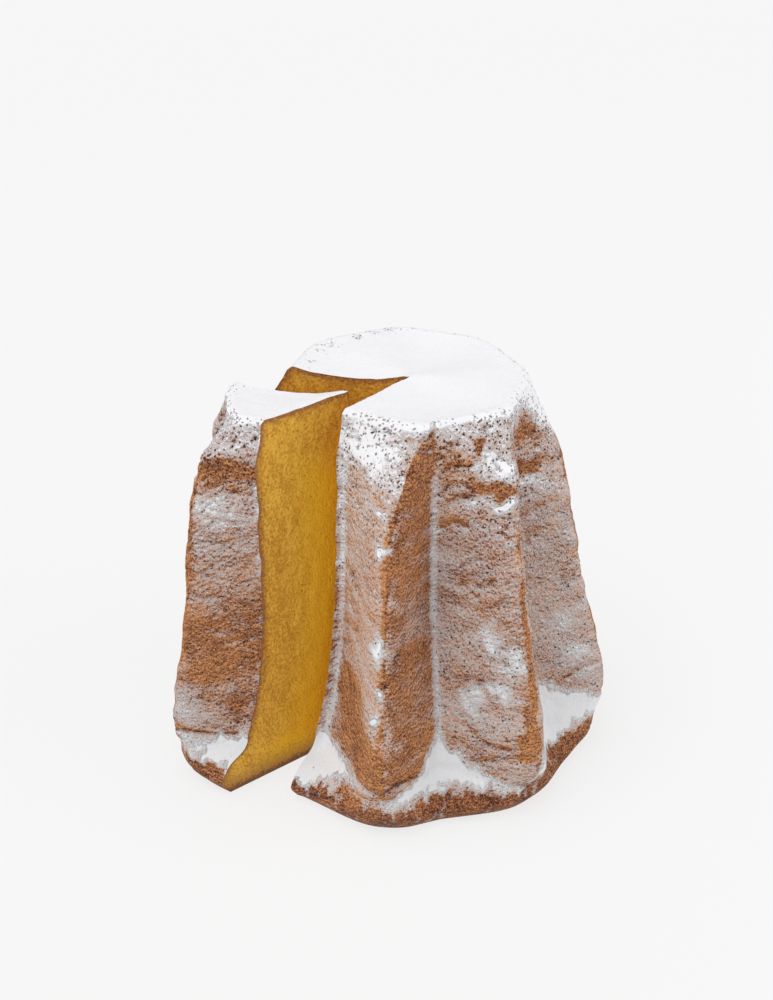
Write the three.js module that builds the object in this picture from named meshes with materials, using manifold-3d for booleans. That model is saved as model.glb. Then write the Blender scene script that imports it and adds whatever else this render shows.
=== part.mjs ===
// A pandoro: a tall sponge cake baked in an eight-pointed star mould and turned out wide end down,
// with one slice cut from it and drawn a little way out of its gap.
//
// Millimetres, +Z up. Angles are in degrees round the star's upright axis, from -Y towards +X.
import * as THREE from 'three';
import { mergeVertices } from 'three/addons/utils/BufferGeometryUtils.js';
import Module from 'manifold-3d';

// --- Driving dimensions -------------------------------------------------------------------------

const HEIGHT = 199;

// The crest of a point, from the foot that rounds under, over the widest place, up to the rim.
const crestWith = ({ foot, shoulder, shoulderDrop }) => [
  { z: 0, radius: 96 * foot },
  { z: 13, radius: 105 * foot },
  { z: 38, radius: 110 * foot },
  { z: 84, radius: 101.5 },
  { z: HEIGHT - shoulderDrop, radius: 78.5 * shoulder },
  { z: HEIGHT - 8, radius: 60.5 },
  { z: HEIGHT - 2, radius: 58 },
  { z: HEIGHT, radius: 55.5 },
];

// The furrow between two points runs out at the foot on a sloping shelf of its own height. Its neck
// is how wide it is near the rim.
const furrowWith = (shelf, neck) => [
  { z: 0, radius: 94.5 },
  { z: 8, radius: 99 },
  { z: 17, radius: 90.5 },
  { z: shelf, radius: 77.5 },
  { z: (shelf + HEIGHT) / 2, radius: 59.5 * (0.5 + neck / 2) },
  { z: HEIGHT - 14, radius: 59 * neck },
  { z: HEIGHT - 2, radius: 57.5 * neck },
  { z: HEIGHT, radius: 55 * neck },
];

// High up, a crest veers round towards the furrow after it.
const VEER_ABOVE = 145;

// The points that baked unevenly. Each has the angle, reach, foot, shoulder and veer of its crest,
// then the angle, reach, shelf and neck of the furrow after it.
const USUAL = {
  ...{ reach: 1.03, foot: 1, shoulder: 1, shoulderDrop: 31, veer: 13 },
  ...{ furrowReach: 1, shelf: 47, neck: 1 },
};
const UNEVEN_POINTS = [
  {
    ...USUAL,
    ...{ crest: -52.4, reach: 1.05, shoulderDrop: 22, veer: 0 },
    ...{ furrow: -32, furrowReach: 0.93, shelf: 24, neck: 0.94 },
  },
  { ...USUAL, crest: -5, reach: 1.04, furrow: 13.7, furrowReach: 0.96, shelf: 54 },
  { ...USUAL, crest: 38.5, reach: 1.06, shoulder: 0.97, furrow: 58.2 },
  { ...USUAL, crest: 78, foot: 1.02, shoulder: 0.97, furrow: 101 },
];
const POINTS = 8;

// Share of the way between crest and furrow that is rounded off. Foot and rim are rounder than the
// sides between them.
const CREST_ROUNDING = 0.27;
const END_ROUNDING = 0.55;
const FOOT_HEIGHT = 36;
const RIM_HEIGHT = 12;
const FURROW_ROUNDING = 0.09;

// The knife's two cuts meet close to the axis.
const CUT_MEETING = { x: 1.3, y: -2.3 };
const GAP = { from: -97.2, to: -36.8 };
const SLICE = { from: -91, to: -38.7 };
const SLICE_SHARE_OF_FULL_SIZE = 0.96; // it dried and shrank a little
const SLICE_LEAN = 2.2; // degrees outwards
const SLICE_TILT = 3.2; // degrees that its top drops outwards
const SLICE_MIDDLE = (SLICE.from + SLICE.to) / 2;
const SLICE_PLACE = { x: -19.8, y: -15.1, turn: -11.9 };

// The baked skin: long swells all over, rolls that run round the sides, and folds over the foot.
const SWELLS = [
  { depth: 0.3, along: [1 / 61, 1 / 47, 1 / 38], phase: 0.4 },
  { depth: 0.27, along: [-1 / 43, 1 / 57, 1 / 29], phase: 2.1 },
  { depth: 0.2, along: [1 / 31, -1 / 26, 1 / 45], phase: 4.4 },
];
const ROLLS = { depth: 0.3, apart: 13, wander: 1.5 };
const FOLDS = [
  { depth: 1.9, height: 21, width: 3.2, rise: 4, turns: 5, phase: 0.6 },
  { depth: 1.1, height: 33, width: 2.6, rise: 6, turns: 7, phase: 2.9 },
];
const SKIN_STARTS = 10; // the skin's relief fades in above the flat base
const SKIN_ENDS = 6; // and out below the rim

// The top dips a little in the middle, and sinks in three shallow hollows between middle and rim.
const TOP_DIP = 0.6;
const HOLLOW = 3.2;

// How finely the faces are divided.
const COLUMNS_PER_FLANK = 7;
const LEVELS = [
  { to: 48, step: 3.2 },
  { to: HEIGHT - 36, step: 7.7 },
  { to: HEIGHT - 8, step: 5.6 },
  { to: HEIGHT, step: 2.7 },
];
const TOP_RINGS = [0.86, 0.68, 0.48, 0.26];

// --- The star's form ----------------------------------------------------------------------------

const { degToRad, smoothstep } = THREE.MathUtils;

// A curve through the stations that never overshoots them (a monotone cubic).
function smoothProfile(stations) {
  const last = stations.length - 1;
  const span = (k) => stations[k + 1].z - stations[k].z;
  const slope = (k) => (stations[k + 1].radius - stations[k].radius) / span(k);
  const tangents = stations.map((_, k) => {
    if (k === 0) return slope(0);
    if (k === last) return slope(last - 1);
    const [before, after] = [slope(k - 1), slope(k)];
    if (before * after <= 0) return 0;
    const [w1, w2] = [2 * span(k) + span(k - 1), span(k) + 2 * span(k - 1)];
    return (w1 + w2) / (w1 / before + w2 / after);
  });
  return (z) => {
    let k = 0;
    while (k < last - 1 && z > stations[k + 1].z) k += 1;
    const h = span(k);
    const t = (z - stations[k].z) / h;
    const rise = stations[k + 1].radius - stations[k].radius;
    return (
      stations[k].radius +
      rise * t * t * (3 - 2 * t) +
      h * t * (1 - t) * (tangents[k] * (1 - t) - tangents[k + 1] * t)
    );
  };
}

// All eight points. Those behind the uneven ones share out the rest of the circle.
function starPoints() {
  const first = UNEVEN_POINTS[0];
  const latest = UNEVEN_POINTS[UNEVEN_POINTS.length - 1];
  const even = POINTS - UNEVEN_POINTS.length;
  const apart = (first.crest + 360 - latest.crest) / (even + 1);
  const points = [...UNEVEN_POINTS];
  for (let k = 1; k <= even; k += 1) {
    const crest = latest.crest + k * apart;
    points.push({ ...USUAL, crest, furrow: crest + apart / 2 });
  }
  return points;
}

// The sixteen flanks, each between a crest and a furrow. A flank gives both ends' angle and radius
// at any height, and knows the flanks that it meets there.
function starFlanks() {
  const points = starPoints();
  const crests = points.map(({ crest, reach, veer, ...edge }) => {
    const profile = smoothProfile(crestWith(edge));
    return {
      angle: (z) => crest + veer * Math.max(0, (z - VEER_ABOVE) / (HEIGHT - VEER_ABOVE)) ** 2,
      radius: (z) => reach * profile(z),
    };
  });
  const flanks = points.flatMap(({ furrow: angle, furrowReach, shelf, neck }, k) => {
    const profile = smoothProfile(furrowWith(shelf, neck));
    const furrow = { angle, radius: (z) => furrowReach * profile(z) };
    const lap = k + 1 < POINTS ? 0 : 360;
    const next = crests[(k + 1) % POINTS];
    return [
      { crest: crests[k], furrow },
      { crest: { ...next, angle: (z) => next.angle(z) + lap }, furrow },
    ];
  });
  flanks.forEach((flank, k) => {
    const falls = k % 2 === 0; // from its crest down to its furrow
    flank.overFurrow = flanks[falls ? k + 1 : k - 1];
    flank.overCrest = flanks[(falls ? k - 1 + flanks.length : k + 1) % flanks.length];
  });
  return flanks;
}

// Radius of a flank at share t of the way from its furrow (0) to its crest (1): a straight line in
// plan, rounded off where it meets its neighbours.
function roundedRadius({ crest, furrow }, t, z) {
  const end = Math.max(1 - smoothstep(z, 0, FOOT_HEIGHT), smoothstep(z, HEIGHT - RIM_HEIGHT, HEIGHT));
  const rounding = CREST_ROUNDING + (END_ROUNDING - CREST_ROUNDING) * end;
  let s = t;
  if (t > 1 - rounding) s -= (t - (1 - rounding)) ** 2 / (2 * rounding);
  if (t < FURROW_ROUNDING) s += (FURROW_ROUNDING - t) ** 2 / (2 * FURROW_ROUNDING);
  const spread = degToRad(Math.abs(crest.angle(z) - furrow.angle));
  const [far, near] = [crest.radius(z), furrow.radius(z)];
  const across = near * Math.sin(s * spread) + far * Math.sin((1 - s) * spread);
  return (near * far * Math.sin(spread)) / across;
}

// Uneven flanks would meet in a small step, so both are led to their mean there.
function flankRadius(flank, t, z) {
  const end = t > 0.5 ? 1 : 0;
  const neighbour = end ? flank.overCrest : flank.overFurrow;
  const step = (roundedRadius(neighbour, end, z) - roundedRadius(flank, end, z)) / 2;
  return roundedRadius(flank, t, z) + step * smoothstep(Math.abs(2 * t - 1), 0, 1);
}

// How far the baked skin stands out from the plain star, before it is scaled for the slice.
function skinRelief(x, y, z, angle) {
  const swell = SWELLS.reduce((sum, { depth, along, phase }) => {
    const turns = x * along[0] + y * along[1] + z * along[2];
    return sum + depth * Math.sin(2 * Math.PI * turns + phase);
  }, 0);
  const a = degToRad(angle);
  const drift = ROLLS.wander * (Math.sin(5 * a + 0.7) + Math.sin(11 * a + z / 40));
  const patch = 0.5 + 0.5 * Math.sin(7 * a + z / 23);
  const roll = ROLLS.depth * patch * Math.sin((2 * Math.PI * z) / ROLLS.apart + drift);
  const fold = FOLDS.reduce((sum, { depth, height, width, rise, turns, phase }) => {
    const middle = height + rise * Math.sin(turns * a + phase);
    const strength = 0.5 + 0.5 * Math.sin((turns - 2) * a + 2 * phase);
    return sum - depth * strength * Math.exp(-(((z - middle) / width) ** 2));
  }, 0);
  const fade = smoothstep(z, 0, SKIN_STARTS) * smoothstep(HEIGHT - z, 0, SKIN_ENDS);
  return fade * (swell + roll + fold);
}

function levels() {
  const heights = [0];
  for (const { to, step } of LEVELS) {
    const from = heights[heights.length - 1];
    const count = Math.round((to - from) / step);
    for (let k = 1; k <= count; k += 1) heights.push(from + ((to - from) * k) / count);
  }
  return heights;
}

const around = (radius, angle, z) => {
  const a = degToRad(angle);
  return new THREE.Vector3(radius * Math.sin(a), -radius * Math.cos(a), z);
};

// A point of the top, at a share of the way from the middle (0) to a point of the rim (1).
function topPoint(onRim, share) {
  const waves = 0.5 + 0.5 * Math.sin(3 * Math.atan2(onRim.x, -onRim.y));
  const dip = TOP_DIP * (1 - share) + HOLLOW * waves * 4 * share * (1 - share);
  return new THREE.Vector3(onRim.x * share, onRim.y * share, HEIGHT - dip);
}

// The whole star before it is cut, as a closed mesh: the sides ring by ring, a base that is one
// flat fan, and the top.
function starGeometry(scale) {
  const columns = [];
  starFlanks().forEach((flank, index) => {
    const climbs = index % 2 === 1; // from its furrow up to the next crest
    for (let k = 0; k < COLUMNS_PER_FLANK; k += 1) {
      columns.push({ flank, t: climbs ? k / COLUMNS_PER_FLANK : 1 - k / COLUMNS_PER_FLANK });
    }
  });
  const side = (z) =>
    columns.map(({ flank, t }) => {
      const angle = flank.furrow.angle + t * (flank.crest.angle(z) - flank.furrow.angle);
      const radius = flankRadius(flank, t, z);
      const plain = around(radius, angle, z);
      return around(scale * (radius + skinRelief(plain.x, plain.y, z, angle)), angle, z);
    });
  const rings = levels().map(side);
  const rim = rings[rings.length - 1];
  for (const share of TOP_RINGS) rings.push(rim.map((onRim) => topPoint(onRim, share)));

  const count = columns.length;
  const points = [...rings.flat(), new THREE.Vector3(0, 0, 0)];
  points.push(topPoint(rim[0], 0));
  const [baseMiddle, topMiddle] = [points.length - 2, points.length - 1];
  const faces = [];
  for (let k = 0; k < count; k += 1) {
    const next = (k + 1) % count;
    for (let ring = 0; ring < rings.length - 1; ring += 1) {
      const [low, high] = [ring * count, (ring + 1) * count];
      faces.push(low + k, low + next, high + next, low + k, high + next, high + k);
    }
    const innermost = (rings.length - 1) * count;
    faces.push(baseMiddle, next, k, topMiddle, innermost + k, innermost + next);
  }
  return new THREE.BufferGeometry().setFromPoints(points).setIndex(faces);
}

// --- Cutting ------------------------------------------------------------------------------------

const wasm = await Module();
wasm.setup();

function toSolid(geometry) {
  const plain = geometry.clone().deleteAttribute('normal').deleteAttribute('uv');
  const merged = mergeVertices(plain);
  const mesh = new wasm.Mesh({
    numProp: 3,
    vertProperties: new Float32Array(merged.attributes.position.array),
    triVerts: new Uint32Array(merged.index.array),
  });
  return new wasm.Manifold(mesh);
}

function toGeometry(solid) {
  const { vertProperties, triVerts } = solid.getMesh();
  const geometry = new THREE.BufferGeometry();
  geometry.setAttribute('position', new THREE.BufferAttribute(vertProperties, 3));
  geometry.setIndex(new THREE.BufferAttribute(triVerts, 1));
  geometry.computeVertexNormals();
  return geometry;
}

// The wedge between two cuts, well past the star on every side but its edge.
function wedge({ from, to }, scale) {
  const reach = 2 * HEIGHT;
  const meeting = new THREE.Vector3(CUT_MEETING.x, CUT_MEETING.y, 0).multiplyScalar(scale);
  const corners = [from, to].map((angle) => around(reach, angle, 0).add(meeting));
  const outline = new THREE.Shape([meeting, ...corners].map(({ x, y }) => new THREE.Vector2(x, y)));
  const blade = new THREE.ExtrudeGeometry(outline, { depth: reach, bevelEnabled: false });
  return toSolid(blade.translate(0, 0, (HEIGHT - reach) / 2));
}

function makeCake() {
  return toGeometry(toSolid(starGeometry(1)).subtract(wedge(GAP, 1)));
}

// Standing alone, the slice leans outwards and its top tilts with it, while its base stays flat.
function leanOutwards(geometry) {
  const outwards = around(1, SLICE_MIDDLE, 0);
  const [lean, tilt] = [Math.tan(degToRad(SLICE_LEAN)), Math.tan(degToRad(SLICE_TILT))];
  const { position } = geometry.attributes;
  const point = new THREE.Vector3();
  for (let k = 0; k < position.count; k += 1) {
    point.fromBufferAttribute(position, k);
    const drop = (tilt * point.dot(outwards) * point.z) / HEIGHT;
    point.addScaledVector(outwards, lean * point.z).setZ(point.z - drop);
    position.setXYZ(k, point.x, point.y, point.z);
  }
  geometry.computeVertexNormals();
  return geometry;
}

function makeSlice() {
  const size = SLICE_SHARE_OF_FULL_SIZE;
  return leanOutwards(toGeometry(toSolid(starGeometry(size)).intersect(wedge(SLICE, size))));
}

// --- The pandoro --------------------------------------------------------------------------------

const sugaredCrust = new THREE.MeshStandardMaterial({ color: 0xc9a58c, roughness: 0.9, metalness: 0 });

const cake = new THREE.Mesh(makeCake(), sugaredCrust);
cake.name = 'cake';

const slice = new THREE.Mesh(makeSlice(), sugaredCrust);
slice.name = 'slice';
slice.position.set(SLICE_PLACE.x, SLICE_PLACE.y, 0);
slice.rotation.z = degToRad(SLICE_PLACE.turn);

// The origin is in the middle of the footprint, at the height that the base stands on.
const pandoro = new THREE.Group();
pandoro.add(cake, slice);
const middle = new THREE.Box3().setFromObject(pandoro, true).getCenter(new THREE.Vector3());
pandoro.position.set(-middle.x, -middle.y, 0);

export default pandoro;
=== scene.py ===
# %% [markdown]
# # A pandoro under icing sugar
#
# A pandoro is a tall sponge cake baked in a star-shaped mould with eight points. It is turned out
# wide end down and dusted with icing sugar, which lies thick on the top and on the shelves at the
# foot of the furrows, and thin on the steep sides. One slice is cut and drawn a little way out.
#
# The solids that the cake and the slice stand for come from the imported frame. Everything here is
# in their frame, in metres, with +Z up.

# %% Load the frame
import math

import bpy
import numpy as np
from mathutils import Matrix, Vector, kdtree
from mathutils.geometry import delaunay_2d_cdt


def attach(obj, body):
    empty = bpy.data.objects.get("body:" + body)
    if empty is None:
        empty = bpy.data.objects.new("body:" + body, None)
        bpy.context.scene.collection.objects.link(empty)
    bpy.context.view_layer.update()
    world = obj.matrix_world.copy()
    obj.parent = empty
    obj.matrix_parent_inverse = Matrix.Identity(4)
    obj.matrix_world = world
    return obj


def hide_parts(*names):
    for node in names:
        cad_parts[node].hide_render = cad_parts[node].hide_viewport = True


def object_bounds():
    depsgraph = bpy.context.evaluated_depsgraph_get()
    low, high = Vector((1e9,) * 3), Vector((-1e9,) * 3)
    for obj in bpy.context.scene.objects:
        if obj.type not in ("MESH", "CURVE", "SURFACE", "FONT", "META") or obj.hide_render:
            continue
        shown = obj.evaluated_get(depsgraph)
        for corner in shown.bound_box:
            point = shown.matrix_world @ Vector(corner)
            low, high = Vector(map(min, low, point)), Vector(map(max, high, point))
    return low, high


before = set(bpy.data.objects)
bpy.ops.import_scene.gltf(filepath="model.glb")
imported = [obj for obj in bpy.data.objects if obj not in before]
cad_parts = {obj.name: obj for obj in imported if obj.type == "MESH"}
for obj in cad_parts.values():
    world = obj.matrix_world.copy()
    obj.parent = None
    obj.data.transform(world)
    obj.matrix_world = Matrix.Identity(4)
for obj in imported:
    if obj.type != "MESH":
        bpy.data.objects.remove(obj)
cad_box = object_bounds()
MM = 0.001
print("the solids fill", [round((high - low) / MM, 1) for low, high in zip(*cad_box)], "mm")

# %% [markdown]
# ## The star
#
# The mould gives the cake its form, so one description of the mould serves every face of it. Two
# upright curves are enough: the crest that runs up each point, and the furrow between two points.
# A plan at any height is then sixteen straight flanks between crests and furrows, rounded where
# they meet. Modelling the points one by one would be slower, and they would not match the solids.
#
# Angles are in degrees round the star's upright axis, from -Y towards +X. Sizes are in millimetres.

# %% The mould's sizes
HEIGHT = 199.0
CREST_FOOT = [(0, 96), (13, 105), (38, 110)]  # heights and radii
CREST_SIDE = (84, 101.5)
CREST_TOP = [(HEIGHT - 8, 60.5), (HEIGHT - 2, 58), (HEIGHT, 55.5)]
SHOULDER_RADIUS = 78.5
FURROW_FOOT = [(0, 94.5), (8, 99), (17, 90.5)]
SHELF_RADIUS = 77.5
VEER_ABOVE = 145.0  # high up, a crest veers round towards the furrow after it
CREST_ROUNDING, END_ROUNDING, FURROW_ROUNDING = 0.27, 0.55, 0.09
FOOT_HEIGHT, RIM_HEIGHT = 36.0, 12.0

usual = dict(reach=1.03, foot=1.0, shoulder=1.0, shoulder_drop=31.0, veer=13.0,
             furrow_reach=1.0, shelf=47.0, neck=1.0)
points = [
    {**usual, "crest": -52.4, "reach": 1.05, "shoulder_drop": 22.0, "veer": 0.0, "furrow": -32.0,
     "furrow_reach": 0.93, "shelf": 24.0, "neck": 0.94},
    {**usual, "crest": -5.0, "reach": 1.04, "furrow": 13.7, "furrow_reach": 0.96, "shelf": 54.0},
    {**usual, "crest": 38.5, "reach": 1.06, "shoulder": 0.97, "furrow": 58.2},
    {**usual, "crest": 78.0, "foot": 1.02, "shoulder": 0.97, "furrow": 101.0},
]
POINTS = 8
apart = (points[0]["crest"] + 360 - points[-1]["crest"]) / (POINTS - len(points) + 1)
while len(points) < POINTS:  # the points at the back share out the rest of the circle evenly
    crest = points[-1]["crest"] + apart
    points.append({**usual, "crest": crest, "furrow": crest + apart / 2})
print("crests at", [round(point["crest"], 1) for point in points], "degrees")


# %% From angles to places and back
def polar(angle, radius):
    a = np.radians(angle)
    return np.stack([radius * np.sin(a), -radius * np.cos(a)], -1)


def angle_of(xy):
    return np.degrees(np.arctan2(xy[..., 0], -xy[..., 1]))


def with_height(xy, z):
    return np.concatenate([xy, z[..., None]], -1)


# %% A curve through the heights and radii that never overshoots them
def smooth_profile(stations):
    z, radius = np.array(stations, float).T
    span, slope = np.diff(z), np.diff(radius) / np.diff(z)
    tangent = np.zeros(len(z))
    tangent[0], tangent[-1] = slope[0], slope[-1]
    for k in range(1, len(slope)):
        before, after = slope[k - 1], slope[k]
        if before * after > 0:
            w1, w2 = 2 * span[k] + span[k - 1], span[k] + 2 * span[k - 1]
            tangent[k] = (w1 + w2) / (w1 / before + w2 / after)

    def curve(height):
        k = np.clip(np.searchsorted(z, height) - 1, 0, len(slope) - 1)
        t = (height - z[k]) / span[k]
        bend = span[k] * t * (1 - t) * (tangent[k] * (1 - t) - tangent[k + 1] * t)
        return radius[k] + (radius[k + 1] - radius[k]) * t * t * (3 - 2 * t) + bend

    return curve


def smoothstep(x, low, high):
    t = np.clip((x - low) / (high - low), 0, 1)
    return t * t * (3 - 2 * t)


for point in points:
    foot = [(z, radius * point["foot"]) for z, radius in CREST_FOOT]
    shoulder = (HEIGHT - point["shoulder_drop"], SHOULDER_RADIUS * point["shoulder"])
    point["crest_radius"] = smooth_profile([*foot, CREST_SIDE, shoulder, *CREST_TOP])
    shelf, neck = point["shelf"], point["neck"]
    point["furrow_radius"] = smooth_profile([
        *FURROW_FOOT, (shelf, SHELF_RADIUS), ((shelf + HEIGHT) / 2, 59.5 * (0.5 + neck / 2)),
        (HEIGHT - 14, 59 * neck), (HEIGHT - 2, 57.5 * neck), (HEIGHT, 55 * neck)])
print("the first crest is widest at", round(float(points[0]["crest_radius"](38.0)), 1), "mm")


# %% The star's radius at any angle and height
def crest_angle(k, z):
    veer = points[k % POINTS]["veer"] * np.clip((z - VEER_ABOVE) / (HEIGHT - VEER_ABOVE), 0, None) ** 2
    return points[k % POINTS]["crest"] + 360 * (k // POINTS) + veer


def flank_radius(number, share, z):
    """An even flank falls from its crest to its furrow, and an odd one climbs to the next crest."""
    k, climbs = divmod(number % (2 * POINTS), 2)
    end = np.maximum(1 - smoothstep(z, 0, FOOT_HEIGHT), smoothstep(z, HEIGHT - RIM_HEIGHT, HEIGHT))
    rounding = CREST_ROUNDING + (END_ROUNDING - CREST_ROUNDING) * end
    s = share - np.clip(share - 1 + rounding, 0, None) ** 2 / (2 * rounding)
    s += np.clip(FURROW_ROUNDING - share, 0, None) ** 2 / (2 * FURROW_ROUNDING)
    spread = np.radians(np.abs(crest_angle(k + climbs, z) - points[k]["furrow"]))
    point = points[(k + climbs) % POINTS]
    far = point["reach"] * point["crest_radius"](z)
    near = points[k]["furrow_reach"] * points[k]["furrow_radius"](z)
    return near * far * np.sin(spread) / (near * np.sin(s * spread) + far * np.sin((1 - s) * spread))


def star(angle, z):
    """Radius, share of the way from furrow (0) to crest (1), and number of the flank."""
    radius, share, flank = np.zeros(z.shape), np.zeros(z.shape), np.zeros(z.shape, int)
    turned = points[0]["crest"] + np.mod(angle - points[0]["crest"], 360)
    for number in range(2 * POINTS):
        k, climbs = divmod(number, 2)
        crest, furrow = crest_angle(k + climbs, z), points[k]["furrow"]
        on_it = (turned - furrow) * (turned - crest) <= 0
        t, height = ((turned - furrow) / (crest - furrow))[on_it], z[on_it]
        plain = flank_radius(number, t, height)
        for end, over in ((1.0, number + (1 if climbs else -1)), (0.0, number + (-1 if climbs else 1))):
            here = np.full(t.shape, end)  # uneven flanks are led to their mean where they meet
            step = (flank_radius(over, here, height) - flank_radius(number, here, height)) / 2
            plain += step * smoothstep(np.abs(2 * t - 1), 0, 1) * ((t > 0.5) == (end > 0.5))
        radius[on_it], share[on_it], flank[on_it] = plain, t, number
    return radius, share, flank


print("radius straight ahead at half height", star(np.zeros(1), np.full(1, HEIGHT / 2))[0].round(1))

# %% [markdown]
# ## Noise for the uneven parts
#
# Baked skin, crumb and sugar are uneven at every scale. Gradient noise is the usual start: random
# slopes on a grid, blended smoothly. Blender has it in `mathutils.noise`, one point at a time. The
# meshes here have hundreds of thousands of points, so this one works on whole arrays. A different
# blob size for each axis stretches it, as baking stretches wrinkles round the cake.

# %% Noise over arrays of points
random = np.random.default_rng(8)
SHUFFLE = np.tile(random.permutation(256), 3)
SLOPES = random.normal(size=(256, 3))
SLOPES /= np.linalg.norm(SLOPES, axis=1, keepdims=True)


def noise(places, size, offset=0.0):
    """About -1 to 1, with blobs `size` mm across: one number, or one for each axis."""
    p = places / np.broadcast_to(size, 3) + offset
    cell = np.floor(p).astype(int)
    f = p - cell
    fade = f * f * f * (f * (f * 6 - 15) + 10)
    total = np.zeros(p.shape[:-1])
    for corner in np.ndindex(2, 2, 2):
        x, y, z = np.moveaxis((cell + corner) & 255, -1, 0)
        slope = SLOPES[SHUFFLE[SHUFFLE[SHUFFLE[x] + y] + z]]
        weight = np.where(corner, fade, 1 - fade).prod(-1)
        total += weight * ((f - corner) * slope).sum(-1)
    return 1.7 * total


sample = noise(random.uniform(0, 400, (20000, 3)), 20.0)
print("noise runs from", sample.min().round(2), "to", sample.max().round(2))

# %% [markdown]
# ## The baked skin
#
# The solids already have the skin's long swells, the rolls that run round the sides and the folds
# over the foot, so the same sums come first. Finer relief is added over them: bark-like wrinkles
# that lie nearly level, creases, and pits where bubbles broke at the surface. Creases and pits are
# also painted darker, as painted shade. The finer relief only cuts inwards, so the cake keeps the
# size of its solid.


# %% Swells, rolls and folds, as in the solids
def skin_relief(x, y, z, angle):
    swell = 0.3 * np.sin(2 * np.pi * (x / 61 + y / 47 + z / 38) + 0.4)
    swell += 0.27 * np.sin(2 * np.pi * (-x / 43 + y / 57 + z / 29) + 2.1)
    swell += 0.2 * np.sin(2 * np.pi * (x / 31 - y / 26 + z / 45) + 4.4)
    a = np.radians(angle)
    drift = 1.5 * (np.sin(5 * a + 0.7) + np.sin(11 * a + z / 40))
    roll = 0.3 * (0.5 + 0.5 * np.sin(7 * a + z / 23)) * np.sin(2 * np.pi * z / 13 + drift)
    fold = 0.0
    for depth, height, width, rise, turns, phase in ((1.9, 21, 3.2, 4, 5, 0.6), (1.1, 33, 2.6, 6, 7, 2.9)):
        middle = height + rise * np.sin(turns * a + phase)
        strength = 0.5 + 0.5 * np.sin((turns - 2) * a + 2 * phase)
        fold = fold - depth * strength * np.exp(-(((z - middle) / width) ** 2))
    return smoothstep(z, 0, 10) * smoothstep(HEIGHT - z, 0, 6) * (swell + roll + fold)


# %% Wrinkles, which are rough on some flanks and faint on others
ROUGHNESS = np.array([0.7, 0.85, 0.3, 1.0, 0.7, 0.75, 0.7, 0.9, 0.6, 0.9, 0.8, 0.5, 0.9, 0.7, 0.9, 0.7])


def wander(places):
    """The places moved up and down a little, so that level lines wander."""
    moved = places.copy()
    moved[..., 2] += 7 * noise(places, 38) + 2.5 * noise(places, 13)
    return moved


def wrinkles(places, flank):
    moved = wander(places)
    bark = 0.6 * noise(moved, (13, 13, 6)) + 0.5 * noise(moved, (5.5, 5.5, 3.2), 7.3)
    bark -= 0.6 * np.exp(-((noise(moved, (7, 7, 4), 4.9) / 0.12) ** 2))
    patchy = 0.25 + 0.75 * smoothstep(noise(places, 27, 3.1) + (places[..., 2] - 120) / 160, -0.35, 0.35)
    return ROUGHNESS[flank] * patchy * bark + 0.22 * noise(places, (3.2, 3.2, 2.3), 6.1)


def crease_lines(places, flank):
    """1 along thin broken lines, 0 between them."""
    line = np.exp(-((noise(wander(places), (21, 21, 9), 11.7) / 0.08) ** 2))
    return ROUGHNESS[flank] * line * smoothstep(noise(places, 24, 5.9), 0.02, 0.3)


# %% [markdown]
# ### Creases and pits that the photo shows
#
# Noise gives the right kind of skin but not this cake's own marks. The few that catch the eye are
# written down by their place on the star: where a crease starts and ends, how wide and how deep it
# is. Pits are scattered by a seeded draw, most of them near the rim, where bubbles reach the skin.

# %% The marks that catch the eye, and scattered pits
CREASES = [  # angle and height of both ends, width and depth
    (-10, 27, 0, 31, 1.5, 2.4), (0, 31, 9, 26.5, 1.5, 2.2), (-7, 31.5, 10, 19, 1.1, 1.2),
    (16.5, 149, 24.5, 151.5, 1.3, 1.3), (24, 120, 31, 125, 1.3, 1.3), (19, 51, 31, 41, 1.4, 1.4),
    (19, 162, 27, 165.5, 1.1, 0.9), (17.5, 176, 30, 180, 1.1, 0.9), (27, 90, 33, 84, 1.2, 1.0),
    (61.5, 122, 67, 126, 1.2, 1.1), (63, 163, 72, 166, 1.2, 1.0), (64, 47, 76, 52, 1.3, 1.2),
    (-54, 49, -53, 27, 1.6, 2.4), (-54, 31, -40, 31.5, 1.4, 1.8), (-49, 13, -40, 16, 1.2, 1.0),
    (-44, 168, -38, 154, 1.2, 1.2), (-55, 171, -47, 173, 1.3, 1.3), (-52, 181, -42, 176, 1.2, 1.2),
]


def marked_creases(angle, radius, z):
    """How deep the written creases are at each place, in mm."""
    depth_here = np.zeros(z.shape)
    for from_angle, from_z, to_angle, to_z, width, depth in CREASES:
        turn = np.mod(angle - from_angle + 180, 360) - 180
        along = np.radians(turn) * radius, z - from_z
        whole = np.radians(to_angle - from_angle) * radius, to_z - from_z
        share = (along[0] * whole[0] + along[1] * whole[1]) / (whole[0] ** 2 + whole[1] ** 2)
        bow = 1.4 * np.sin(2 * np.pi * share + from_z)
        away = np.hypot(along[0] - np.clip(share, 0, 1) * whole[0],
                        along[1] - np.clip(share, 0, 1) * whole[1] - bow)
        depth_here = np.maximum(depth_here, depth * np.exp(-((away / width) ** 2)))
    return depth_here


PITS_PER_PLACE = 0.009  # on the worst places near the rim


def scattered_pits(places, flank, z, draw):
    """1 in the middle of a pit, 0 outside, and how deep it is in mm."""
    chance = PITS_PER_PLACE * (0.12 + 0.88 * smoothstep(z, 135, 190)) * ROUGHNESS[flank]
    middles = np.argwhere(draw.random(z.shape) < chance)
    radii = np.clip(draw.lognormal(-0.1, 0.3, len(middles)), 0.7, 1.5)
    tree = kdtree.KDTree(len(middles))
    for k, at in enumerate(middles):
        tree.insert(places[tuple(at)], k)
    tree.balance()
    found = [tree.find(place) for place in places.reshape(-1, 3)]
    nearest = np.array([k for _, k, _ in found])
    away = np.array([distance for _, _, distance in found])
    pit = np.exp(-((away / radii[nearest]) ** 2)).reshape(z.shape)
    return pit, 1.1 * pit * np.minimum(radii[nearest], 1.5).reshape(z.shape)


print(len(CREASES), "creases written down")

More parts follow.
